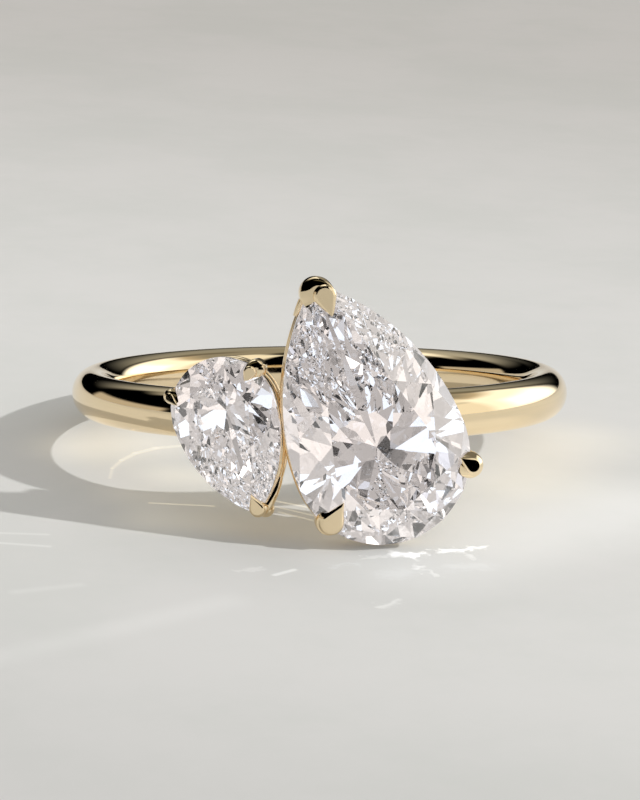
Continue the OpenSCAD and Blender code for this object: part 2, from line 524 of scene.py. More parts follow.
LARGE = Pear(
    10.44, 6.73, OUT_R + 2.65, FRONT * SPREAD, 0.64, 21.6, 0.44, 0.3,
    (
        Claw(90, -0.40, 0.05, 1.30, 1.07, 10, Flat(-0.55, -0.17, 0.60, 0.80, -3, 0.62, 2, 14),
             Post(-0.18, 0.05, -0.12, 0.86)),
        Claw(-27, -0.02, -0.04, 1.02, 0.78, -24, Flat(0.05, -0.02, 0.46, 0.56, -26, 0.62, 7, 3),
             Post(0.06, -0.06, -0.12, 0.86)),
        Claw(207, -0.20, 0.07, 1.04, 0.88, 14, Flat(-0.20, 0.12, 0.64, 0.78, 15, 0.64, 24),
             Post(-0.11, 0.07, -0.12, 0.86)),
    ),
    Arm(42, 0.15, 0.12),
    (-0.01, -0.04),
)
SMALL = Pear(
    6.17, 4.14, OUT_R + 2.35, (FRONT - 1) * SPREAD, -0.41, 180 + 19.2, 0.38, 0.0,
    (
        Claw(90, -0.20, 0.13, 0.66, 0.56, 0, Flat(-0.19, 0.14, 0.43, 0.50, 0, 0.44, 13),
             Post(-0.10, 0.22, -0.42, 0.70)),
        Claw(-34, 0.02, 0.0, 0.58, 0.66, -24, Flat(0.03, 0.02, 0.24, 0.46, -24, 0.46, 8),
             Post(-0.02, 0.0, -0.1, 0.66)),
        Claw(214, 0.07, -0.04, 0.72, 0.74, 14, Flat(-0.11, -0.01, 0.34, 0.50, 12, 0.52, 6, -20),
             Post(0.15, -0.19, 0.1, 0.52)),
    ),
    Arm(36, 0.24, 0.2),
    (-0.05, 0.06),
)


@dataclass(frozen=True)
class Rest:
    """How the hoop's frame lies in the row's: rolled about y, then leant about x."""

    matrix: Array

    @staticmethod
    def from_record() -> "Rest":
        """Reads the roll and lean from the finger hole's axis in the record.

        The axis is (minus sine of the roll, sine of the lean times cosine of the roll, cosine of
        the lean times cosine of the roll).

        Returns:
            The turn from the hoop's frame to the row's.
        """
        mounts = frame["record"]["mounts"]
        axis = unit(np.array(next(m["axis"] for m in mounts if m["name"] == "finger_bore"), float))
        roll, lean = -np.arcsin(axis[0]), np.arctan2(axis[1], axis[2])
        cr, sr, cl, sl = np.cos(roll), np.sin(roll), np.cos(lean), np.sin(lean)
        about_y = np.array([[cr, 0, -sr], [0, 1, 0], [sr, 0, cr]])
        about_x = np.array([[1, 0, 0], [0, cl, sl], [0, -sl, cl]])
        return Rest(about_x @ about_y)

    def to_row(self, p: Array) -> Array:
        """Carries points or directions from the hoop's frame to the row's."""
        return p @ self.matrix.T


# Materials


class Nodes:
    """A short way to write a node tree."""

    def __init__(self, tree: NodeTree) -> None:
        """Empties a node tree and keeps it."""
        self.tree = tree
        tree.nodes.clear()

    def add(self, kind: str, inputs: dict | None = None, **settings: str | bool) -> Node:
        """Adds a node.

        Args:
            kind: its type without the ShaderNode in front.
            inputs: value or output socket for each input, by name or number.
            settings: the node's own properties.

        Returns:
            The new node.
        """
        node = self.tree.nodes.new("ShaderNode" + kind)
        for name, value in settings.items():
            setattr(node, name, value)
        for name, value in (inputs or {}).items():
            if isinstance(value, NodeSocket):
                self.tree.links.new(value, node.inputs[name])
            else:
                node.inputs[name].default_value = value
        return node

    def math(self, operation: str, *values: NodeSocket | float, clamp: bool = False) -> NodeSocket:
        """Adds a Math node and returns its output."""
        node = self.add("Math", dict(enumerate(values)), operation=operation, use_clamp=clamp)
        return node.outputs[0]

    def vector(
        self, operation: str, *values: NodeSocket | Colour, scale: NodeSocket | None = None
    ) -> NodeSocket:
        """Adds a Vector Math node.

        Args:
            operation: what it does.
            values: its vectors, as sockets or as numbers.
            scale: the factor of a SCALE.

        Returns:
            Its output, which is a number for a dot product or a distance.
        """
        inputs = dict(enumerate(values)) | ({} if scale is None else {"Scale": scale})
        node = self.add("VectorMath", inputs, operation=operation)
        return node.outputs["Value" if operation in ("DOT_PRODUCT", "DISTANCE") else "Vector"]

    def noise(
        self, where: NodeSocket, scale: float, detail: float, output: str = "Fac", **inputs: float
    ) -> NodeSocket:
        """Adds a noise texture over places and returns an output."""
        inputs |= {"Vector": where, "Scale": scale, "Detail": detail}
        return self.add("TexNoise", inputs).outputs[output]

    def bump(self, height: NodeSocket, depth: float, strength: float) -> NodeSocket:
        """Adds a bump of a depth in metres and returns the normal."""
        inputs = {"Height": height, "Distance": depth, "Strength": strength}
        return self.add("Bump", inputs).outputs["Normal"]

    def ramp(
        self, value: NodeSocket, low: float, high: float, to_low: float = 0.0, to_high: float = 1.0
    ) -> NodeSocket:
        """Maps one range smoothly to another: three times the share squared less twice its cube.

        Args:
            value: what is mapped.
            low: the first range's start.
            high: its end.
            to_low: what low and all below it become.
            to_high: what high and all above it become.

        Returns:
            The mapped value's socket.
        """
        inputs = {"Value": value, "From Min": low, "From Max": high}
        inputs |= {"To Min": to_low, "To Max": to_high}
        return self.add("MapRange", inputs, interpolation_type="SMOOTHSTEP").outputs["Result"]

    def mix(
        self,
        factor: NodeSocket,
        a: NodeSocket | Colour,
        b: NodeSocket | Colour,
        blend: str = "MIX",
    ) -> NodeSocket:
        """Mixes two colours.

        Args:
            factor: how much of the second shows.
            a: the first colour.
            b: the second.
            blend: how they mix.

        Returns:
            The mixed colour's socket.
        """
        a, b = (v if isinstance(v, NodeSocket) else (*v, 1.0) for v in (a, b))
        node = self.add("Mix", {0: factor, 6: a, 7: b}, data_type="RGBA", blend_type=blend)
        return node.outputs[2]

    def principled(self, inputs: dict) -> None:
        """Ends a material's tree with a Principled shader."""
        shader = self.add("BsdfPrincipled", inputs)
        self.add("OutputMaterial", {"Surface": shader.outputs[0]})


def new_material(name: str) -> tuple[Material, Nodes, NodeSocket]:
    """Starts a node material.

    Args:
        name: its name.

    Returns:
        The material, its node tree and the socket with places in the piece's own frame.
    """
    material = bpy.data.materials.new(name)
    material.use_nodes = True
    n = Nodes(material.node_tree)
    return material, n, n.add("TexCoord").outputs["Object"]


@dataclass(frozen=True)
class GoldFinish:
    """Polished yellow gold: a mirror with faint waviness and hairline polishing marks."""

    name: str = "polished_gold"
    colour: Colour = (0.96, 0.79, 0.53)
    roughness: float = 0.05
    wave_scale: float = 260.0
    hairline_scale: float = 2600.0
    hairline_share: float = 0.12
    depth: float = 4e-6
    strength: float = 0.35
    marks: Pair = (0.3, 0.75)
    rough: Pair = (0.6, 1.5)
    dimmed: float = 0.985

    def material(self) -> Material:
        """Builds the material.

        Returns:
            The new material.
        """
        material, n, where = new_material(self.name)
        wave = n.noise(where, self.wave_scale, 2.0)
        fine = n.noise(where, self.hairline_scale, 3.0)
        height = n.math("MULTIPLY_ADD", fine, self.hairline_share, wave)
        bump = n.bump(height, self.depth, self.strength)
        rough = n.ramp(fine, *self.marks, *(self.roughness * r for r in self.rough))
        tone = n.mix(wave, self.colour, tuple(c * self.dimmed for c in self.colour))
        n.principled({"Base Color": tone, "Metallic": 1.0, "Roughness": rough, "Normal": bump})
        return material


@dataclass(frozen=True)
class DiamondFinish:
    """Colourless cut stone with a faint cloud in its tone."""

    name: str = "white_stone"
    colour: Colour = (1.0, 1.0, 1.0)
    ior: float = 2.417
    roughness: float = 0.0
    cloud_scale: float = 900.0
    dimmed: float = 0.99

    def material(self) -> Material:
        """Builds the material.

        Returns:
            The new material.
        """
        material, n, where = new_material(self.name)
        cloud = n.noise(where, self.cloud_scale, 1.0)
        tone = n.mix(cloud, self.colour, tuple(c * self.dimmed for c in self.colour))
        clear = {"Roughness": self.roughness, "IOR": self.ior, "Transmission Weight": 1.0}
        n.principled({"Base Color": tone} | clear)
        return material


# colours of the painted light on the floor
WARM = (1.0, 0.86, 0.58)
PLAIN = (1.0, 1.0, 1.0)
COOL = (0.85, 0.93, 1.0)


@dataclass(frozen=True)
class PaintedGlow:
    """Painted light on the floor: a soft glowing stroke between two points of it, in mm, in place of
    light that the ring throws there.

    A ragged one has an uneven edge, as light from cut facets has.
    """

    start: Pair
    end: Pair
    width: float
    strength: float
    colour: Colour = PLAIN
    ragged: bool = False


# painted light: glowing strokes on the floor round the ring, in place of its caustics and reflected
# light
PAINTED_GLOWS = (
    PaintedGlow((-9.6, -1.6), (-7.0, -0.4), 3.6, 0.13, WARM),
    PaintedGlow((-8.3, -5.8), (-8.3, -4.4), 0.12, 0.10, WARM),
    PaintedGlow((-8.3, -4.4), (-8.0, -3.2), 0.16, 0.14, WARM),
    PaintedGlow((-8.0, -3.2), (-7.5, -2.1), 0.2, 0.16, WARM),
    PaintedGlow((-7.5, -2.1), (-6.7, -1.2), 0.24, 0.16, WARM),
    PaintedGlow((-6.7, -1.2), (-5.5, -0.6), 0.26, 0.14, WARM),
    PaintedGlow((-5.5, -5.0), (-2.5, -5.0), 2.5, 0.12, WARM),
    PaintedGlow((-7.0, -8.0), (2.0, -9.5), 2.6, 0.06, WARM),
    PaintedGlow((-6.0, -10.9), (1.0, -11.6), 2.6, 0.1, WARM),
    PaintedGlow((7.5, -3.0), (11.0, 3.0), 4.5, 0.12, WARM),
    PaintedGlow((5.0, -8.0), (10.0, -4.0), 4.0, 0.05, WARM),
    PaintedGlow((4.0, -14.2), (12.5, -6.5), 6.0, 0.14),
    PaintedGlow((-6.5, -8.85), (-4.0, -8.87), 0.12, 0.28, WARM),
    PaintedGlow((-1.8, -7.7), (0.8, -9.0), 0.14, 0.3, WARM),
    PaintedGlow((-1.7, -8.5), (0.4, -9.75), 0.12, 0.22, WARM),
    PaintedGlow((-1.4, -9.25), (0.2, -10.3), 0.12, 0.22, WARM),
    PaintedGlow((1.9, -14.5), (2.7, -14.0), 0.22, 0.14, PLAIN, True),
    PaintedGlow((3.1, -13.9), (3.7, -13.8), 0.4, 0.5, PLAIN, True),
    PaintedGlow((3.7, -13.8), (4.1, -13.6), 0.26, 0.4, PLAIN, True),
    PaintedGlow((3.9, -13.4), (3.8, -14.3), 0.16, 0.3, PLAIN, True),
    PaintedGlow((4.5, -13.1), (5.6, -13.0), 0.16, 0.35, PLAIN, True),
    PaintedGlow((4.9, -13.3), (5.2, -13.2), 0.24, 0.4, PLAIN, True),
    PaintedGlow((5.2, -13.0), (6.0, -12.8), 0.18, 0.4, PLAIN, True),
    PaintedGlow((6.1, -12.7), (6.5, -12.5), 0.26, 0.4, PLAIN, True),
    PaintedGlow((5.5, -13.2), (6.1, -13.8), 0.16, 0.16, PLAIN, True),
    PaintedGlow((3.8, -15.2), (4.0, -15.2), 0.26, 0.3, PLAIN, True),
    PaintedGlow((4.1, -15.6), (4.5, -16.0), 0.2, 0.16, PLAIN, True),
    PaintedGlow((5.3, -15.1), (6.4, -14.7), 0.7, 0.06, COOL, True),
    PaintedGlow((2.8, -16.3), (3.4, -15.9), 0.8, 0.06, COOL, True),
    PaintedGlow((0.8, -15.5), (1.6, -15.2), 0.3, 0.06, COOL, True),
    PaintedGlow((-2.7, -16.6), (-1.9, -16.2), 0.25, 0.08, PLAIN, True),
    PaintedGlow((-1.4, -16.9), (-0.7, -16.2), 0.2, 0.22),
    PaintedGlow((2.5, -19.8), (3.0, -19.3), 0.4, 0.14, PLAIN, True),
    PaintedGlow((-12.5, -13.5), (-10.1, -13.4), 0.2, 0.08),
    PaintedGlow((-12.5, -14.6), (-9.9, -14.8), 0.2, 0.1),
    PaintedGlow((-10.6, -20.1), (-8.4, -19.0), 0.4, 0.04),
    PaintedGlow((-14.0, -30.0), (-3.0, -20.0), 1.2, 0.035),
)


@dataclass(frozen=True)
class FloorFinish:
    """Pale studio surface with a faint mottle, with painted shade that makes it a little darker behind
    the ring and in front, and painted light in glowing strokes round the ring.

    The painted shade falls over far depths along +y and near depths along the near way, both in metres.
    """

    name: str = "pale_floor"
    colour: Colour = (0.83, 0.835, 0.843)
    shade: Colour = (0.785, 0.80, 0.80)
    # painted shade: the tones the floor darkens to far behind the ring and near in front
    far: Colour = (0.765, 0.745, 0.73)
    near: Colour = (0.83, 0.83, 0.83)
    far_depths: Pair = (0.0, 0.13)
    near_depths: Pair = (0.014, 0.044)
    near_way: tuple[float, float, float] = (-0.4, -0.92, 0.0)
    mottle_scale: float = 55.0
    mottle_range: Pair = (0.35, 0.65)
    grain_scale: float = 900.0
    grain_depth: float = 1e-5
    grain_strength: float = 0.2
    stir_scale: float = 2200.0
    stir: float = 0.0013
    roughness: float = 0.6
    specular: float = 0.15

    def glow(self, n: Nodes, where: NodeSocket, glow: PaintedGlow) -> NodeSocket:
        """One stroke's painted light: full on the line, and smoothly nothing at its width.

        The share of the way along is the dot product of the point less the start with the stroke,
        over the stroke's squared length, kept from 0 to 1.

        Args:
            n: the floor's nodes.
            where: socket with places on the floor.
            glow: the stroke.

        Returns:
            The light's colour socket.
        """
        start, end = np.array([*glow.start, 0.0]) * MM, np.array([*glow.end, 0.0]) * MM
        stroke = end - start
        along = n.vector("SUBTRACT", where, tuple(start))
        share = n.vector("DOT_PRODUCT", along, tuple(stroke / (stroke @ stroke)))
        share = n.math("MULTIPLY", share, 1.0, clamp=True)
        foot = n.vector("SCALE", tuple(stroke), scale=share)
        away = n.vector("DISTANCE", along, foot)
        light = n.ramp(away, 0.0, glow.width * MM, glow.strength, 0.0)
        return n.vector("SCALE", glow.colour, scale=light)

    def material(self) -> Material:
        """Builds the material.

        Returns:
            The new material.
        """
        material, n, where = new_material(self.name)
        flat = n.vector("MULTIPLY", where, (1.0, 1.0, 0.0))
        mottle = n.noise(where, self.mottle_scale, 6.0, Roughness=0.68)
        grain = n.noise(where, self.grain_scale, 3.0)
        tone = n.mix(n.ramp(mottle, *self.mottle_range), self.colour, self.shade)
        back = n.add("SeparateXYZ", {0: where}).outputs[1]
        # painted shade: the floor darkens further behind the ring
        tone = n.mix(n.ramp(back, *self.far_depths), tone, self.far, "MULTIPLY")
        # painted shade: the floor darkens towards the front
        front = n.vector("DOT_PRODUCT", where, self.near_way)
        tone = n.mix(n.ramp(front, *self.near_depths), tone, self.near, "MULTIPLY")
        stir = n.vector("SUBTRACT", n.noise(flat, self.stir_scale, 2.0, "Color"), (0.5, 0.5, 0.5))
        stirred = n.vector("MULTIPLY_ADD", stir, (self.stir, self.stir, 0.0), flat)
        # painted light: the strokes glow from the floor's emission
        light = self.glow(n, flat, PAINTED_GLOWS[0])
        for glow in PAINTED_GLOWS[1:]:
            light = n.vector("ADD", light, self.glow(n, stirred if glow.ragged else flat, glow))
        n.principled(
            {
                "Base Color": tone,
                "Roughness": self.roughness,
                "Specular IOR Level": self.specular,
                "Normal": n.bump(grain, self.grain_depth, self.grain_strength),
                "Emission Color": light,
                "Emission Strength": 1.0,
            }
        )
        return material


# The pieces


@dataclass(frozen=True)
class Band:
    """The hoop: half round outside, with a straight stretch and two quarter ellipses inside."""

    inner_r: float = FINGER_R
    thick: float = BAND_T
    width: float = BAND_W
    flat: float = BORE_W
    around: int = 288
    steps: int = 12

    def section(self) -> Array:
        """The hoop's section.

        Inside, the radius is the middle one less half the thickness times the cosine, and the
        height a straight half stretch and then the sine times what is left of half the width.
        Outside, they are half the thickness times the sine and half the width times the cosine.

        Returns:
            Points as (radius, height), counter-clockwise.
        """
        mid = self.inner_r + self.thick / 2
        t = np.radians(np.linspace(0, 90, self.steps + 1))
        h = self.flat / 2
        lower = np.stack([mid - self.thick / 2 * np.cos(t), -h - (self.width / 2 - h) * np.sin(t)], -1)
        u = np.radians(np.linspace(0, 180, 2 * self.steps + 1)[1:-1])
        outside = np.stack([mid + self.thick / 2 * np.sin(u), -self.width / 2 * np.cos(u)], -1)
        return np.concatenate([lower, outside, lower[::-1] * [1, -1]])

    def surface(self) -> Surface:
        """The section turned round the finger's axis.

        Returns:
            The closed hoop in its own frame.
        """
        s = self.section()
        spin = turned(np.linspace(0, 360, self.around, endpoint=False))
        level = spin[:, None] * s[None, :, :1]
        return Surface.rings(lifted(level, s[:, 1]), closed=True)


@dataclass(frozen=True)
class Basket:
    """The head under one stone: two wires, a base rail, an arm, prongs and sculpted claws.

    Wire tops are in wire heights below the rail drop, and powers are what rail() asks for.
    """

    pear: Pear
    steps: int = 24
    wire: int = 28
    wire_tops: Pair = (0, 1.4)
    wire_power: float = 0.9
    base_power: float = 0.62
    arm_out: float = 0.06
    arm_start: float = 0.15
    arm_fall: float = 0.3
    rod_taper: float = 0.16
    foot: float = 0.11
    point_out: float = 1.6
    dome_end: float = 55.0
    dome_steps: int = 12
    bevel: tuple[Pair, ...] = ((0.0, 0.0), (0.10, 0.067), (0.16, 0.13), (0.21, 0.22))

    def rail(self, pear: Pear, width: float, height: float, top: float, power: float) -> Surface:
        """A soft-edged wire that follows a pear's outline.

        The wire's section is x and y as half its sizes times the cosine and sine to a power, with
        their signs kept: 1 makes an ellipse, and less a rounder or squarer square.

        Args:
            pear: the outline of its outer side.
            width: its width, inward.
            height: its height.
            top: height of its top.
            power: the power.

        Returns:
            The closed surface in the stone's frame.
        """
        cs = turned(np.linspace(0, 360, self.wire, endpoint=False))
        cs = np.sign(cs) * np.abs(cs) ** power
        inset = width / 2 * (1 - cs[:, 0])
        z = top - height / 2 + height / 2 * cs[:, 1]
        curves = [pear.grown(-g).outline(self.steps) for g in inset]
        grid = np.stack([lifted(c, h) for c, h in zip(curves, z)], 1)
        return Surface.rings(grid, closed=True)

    def tube(self, middle: Array, radius: Array, around: int = 20) -> Surface:
        """A round tube along points, closed at both ends.

        Each ring lies across the path: one axis is level, and the other is square to it and the
        path.

        Args:
            middle: the path's points (n, 3).
            radius: the radius at each.
            around: points of a ring.

        Returns:
            The closed surface.
        """
        axis = unit(np.gradient(middle, axis=0))
        side = unit(np.cross(axis, [0.0, 0.0, 1.0]))
        up = np.cross(axis, side)
        ring = turned(np.linspace(0, 360, around, endpoint=False))
        round_ = ring[None, :, :1] * side[:, None] - ring[None, :, 1:] * up[:, None]
        return Surface.rings(middle[:, None] + radius[:, None, None] * round_)

    def prong(self, foot: Array, top: Array, d: float) -> Surface:
        """A rod that thickens evenly to its top, where it has a round end.

        Args:
            foot: the middle of its lower end.
            top: the middle of its round end.
            d: diameter of the round end.

        Returns:
            The closed surface.
        """
        s = np.linspace(0, 1, 9)
        rod, end = foot + (top - foot) * s[:, None], turned(np.linspace(15, 85, 6))
        dome = top + d / 2 * unit(top - foot) * end[:, 1:]
        radius = np.concatenate([1 - self.rod_taper * (1 - s), end[:, 0]])
        return self.tube(np.concatenate([rod, dome]), d / 2 * radius)

    def arm(self) -> Surface:
        """The swelling beside the tip: a tube just outside the outline, thin at its far end.

        Its steps are short at the tip, where its radius grows along a quarter circle; it falls
        with the square root of one minus three quarters of the way squared.

        Returns:
            The closed surface in the stone's frame.
        """
        p, arm = self.pear, self.pear.arm
        s = 1 - np.cos(np.radians(np.linspace(5, 90, 20)))
        path = p.grown(self.arm_out).edge(p.tip_turn * (1 - s) + arm.last * s)
        start = np.sqrt(1 - (1 - np.clip(s / self.arm_start, 0, 1)) ** 2)
        radius = arm.radius * start * np.sqrt(1 - 0.75 * s**2)
        return self.tube(lifted(path * [-1, 1], -arm.drop - self.arm_fall * s), radius)

    def drop(self, width: float, reach: float, aim: float, middle: Array) -> tuple[Array, Array]:
        """A drop's outline: an arc, and the two straight lines that touch it from a point.

        The arc ends where its tangents reach the point: at an angle from the point's direction
        whose cosine is the radius over the reach.

        Args:
            width: twice the arc's radius.
            reach: distance of the point from the arc's middle.
            aim: degrees by which the point's direction is turned from -x.
            middle: the arc's middle.

        Returns:
            Points (n, 2), counter-clockwise, and for each how outward it faces, from 0 to 1: its
            x before turning, over the arc's radius, plus 0.35.
        """
        end = 180 - np.degrees(np.arccos(min(0.98, width / 2 / reach)))
        arc = width / 2 * turned(np.linspace(-end, end, 31))
        share = np.linspace(0, 1, 10)[1:, None]
        line = arc[-1] * (1 - share) + np.array([-reach, 0.0]) * share
        points = np.concatenate([arc, line, line[-2::-1] * [1, -1]])
        outward = np.clip(points[:, 0] / (width / 2) + 0.35, 0, 1)
        c, s = turned(aim)
        return points @ np.array([[c, s], [-s, c]]) + middle, outward

    def on_edge(self, p: Array, turn: float) -> Array:
        """Carries level points of a claw's frame to the stone's."""
        c, s = turned(turn)
        return p @ np.array([[c, s], [-s, c]]) + self.pear.rim(turn)

    def claw(self, claw: Claw) -> Surface:
        """A claw: domed outside, with straight flanks to its point and a bevelled flat on top.

        Its foot follows the stone's top. From foot to flat a point moves in by one minus the
        cosine and up by the sine of an angle where it faces outward, and evenly elsewhere.

        Args:
            claw: its measures.

        Returns:
            The closed surface in the stone's frame.
        """
        flat = claw.flat
        low, outward = self.drop(claw.width, claw.reach, claw.aim, np.array([claw.x, claw.y]))
        middle = np.array([flat.x, flat.y])
        rings, rise = [], []
        for inset, sink in flat.width * np.array(self.bevel):
            reach = flat.reach + self.point_out * inset
            ring, _ = self.drop(flat.width + 2 * inset, reach, flat.aim, middle)
            fall = (ring - middle) @ np.tan(np.radians([flat.tilt, flat.roll]))
            rings.append(ring)
            rise.append(flat.height - fall - sink)
        at_foot = self.on_edge(low, claw.turn)
        foot = self.pear.cover(at_foot) + self.foot
        phi = np.radians(np.linspace(0, self.dome_end, self.dome_steps))[:, None]
        dome_xy = (1 - np.cos(phi)) / (1 - np.cos(phi[-1]))
        dome_z = np.sin(phi) / np.sin(phi[-1])
        even = np.linspace(0, 1, self.dome_steps)[:, None]
        xy = dome_xy * outward + even * (1 - outward)
        z = dome_z * outward + even * (1 - outward)
        body = low + xy[..., None] * (rings[-1] - low)
        heights = foot + z * (rise[-1] - foot)
        level = np.concatenate([low[None], body, np.array(rings[-2::-1])])
        sole = np.full((1, len(low)), -self.pear.girdle)
        up = np.concatenate([sole, heights, np.array(rise[-2::-1])])
        return Surface.rings(lifted(self.on_edge(level, claw.turn), up))

    def parts(self) -> list[Surface]:
        """Builds the whole head.

        Returns:
            Its closed parts in the stone's frame: wires, base rail, arm, then claws and prongs.
        """
        p = self.pear
        base_top = OUT_R - p.radius - BASE_SINK + BASE_H
        small = replace(p, length=p.length * BASE, width=p.width * BASE)
        parts = []
        for below in self.wire_tops:
            wire = self.rail(p, WIRE_D, WIRE_D, -p.rail_drop - below * WIRE_D, self.wire_power)
            parts.append(replace(wire, points=wire.points + [*p.shift, 0.0]))
        parts += [self.rail(small, BASE_W, BASE_H, base_top, self.base_power), self.arm()]
        for claw in p.claws:
            post = claw.post
            top = self.on_edge(np.array([post.x, post.y]), claw.turn)
            foot = BASE * p.rim(claw.turn) - BASE_W / 2 * turned(claw.turn)
            parts.append(self.claw(claw))
            parts.append(self.prong(lifted(foot, base_top - BASE_H / 2), lifted(top, post.top), post.d))
        return parts


@dataclass(frozen=True)
class CutStone:
    """A pear brilliant: table, stars, mains and halves over a girdle and a faceted pavilion."""

    pear: Pear
    girdle_steps: int = 6

    def main_turns(self) -> Array:
        """Turns of the right half's main facets, from the round end to the tip."""
        return np.array([-90.0, -45.0, 0.0, 0.58 * self.pear.tip_turn, 90.0])

    def corners(self) -> Array:
        """Every corner of the stone; the facets are the faces of their hull.

        Table corners lie where the mains touch the outline, at the table's scale; star, girdle and
        lower corners lie on the lines to where two mains meet; the culet ends the pavilion.

        Returns:
            Points (n, 3) in the stone's frame.
        """
        p = self.pear
        t = self.main_turns()
        contact = p.edge(t)
        meet = p.corner(t[:-1], t[1:])
        high, low = p.crown_z(1.0), p.pavilion_z(1.0)
        right = [
            lifted(p.table * contact, p.crown_z(p.table)),
            lifted(p.star * meet, p.crown_z(p.star)),
            lifted(contact, high),
            lifted(contact, low),
            lifted(self.lower_tip(meet), p.pavilion_z(p.lower)),
            np.array([[0.0, p.culet, p.pavilion_z(0.0)]]),
        ]
        right += self.girdle_points(t)
        cloud = np.concatenate(right)
        return np.concatenate([cloud, cloud * [-1, 1, 1]])

    def lower_tip(self, meet: Array) -> Array:
        """Where the lower halves end, on the line from the culet to where two mains meet."""
        return self.pear.lower * meet + (1 - self.pear.lower) * np.array([0.0, self.pear.culet])

    def girdle_points(self, t: Array) -> list[Array]:
        """Points where the halves' planes cross the upright girdle wall.

        Args:
            t: turns of the main facets.

        Returns:
            Arrays of points of the crown's and the pavilion's side.
        """
        p = self.pear
        out = []
        for a, b in zip(t[:-1], t[1:]):
            last = min(b, p.tip_turn)
            middle = (a + last) / 2
            meet = p.corner(np.array(a), np.array(b))
            for z_edge, inner in (
                (p.crown_z(1.0), lifted(p.star * meet, p.crown_z(p.star))),
                (p.pavilion_z(1.0), lifted(self.lower_tip(meet), p.pavilion_z(p.lower))),
            ):
                for end, other in ((a, middle), (last, middle)):
                    turns = np.linspace(end, other, self.girdle_steps)
                    rim = p.edge(turns)
                    start, stop = lifted(rim[0], z_edge), lifted(rim[-1], z_edge)
                    normal = np.cross(stop - start, inner - start)
                    z = start[2] - ((rim - rim[0]) @ normal[:2]) / normal[2]
                    out.append(lifted(rim, z))
        return out


# The studio


@dataclass(frozen=True)
class Card:
    """A soft rectangle of light in the surroundings, by direction in the row's frame."""

    azimuth: Pair
    elevation: Pair
    colour: Colour
    soft: Pair = (3.0, 3.0)


DARK = (0.02, 0.02, 0.02)


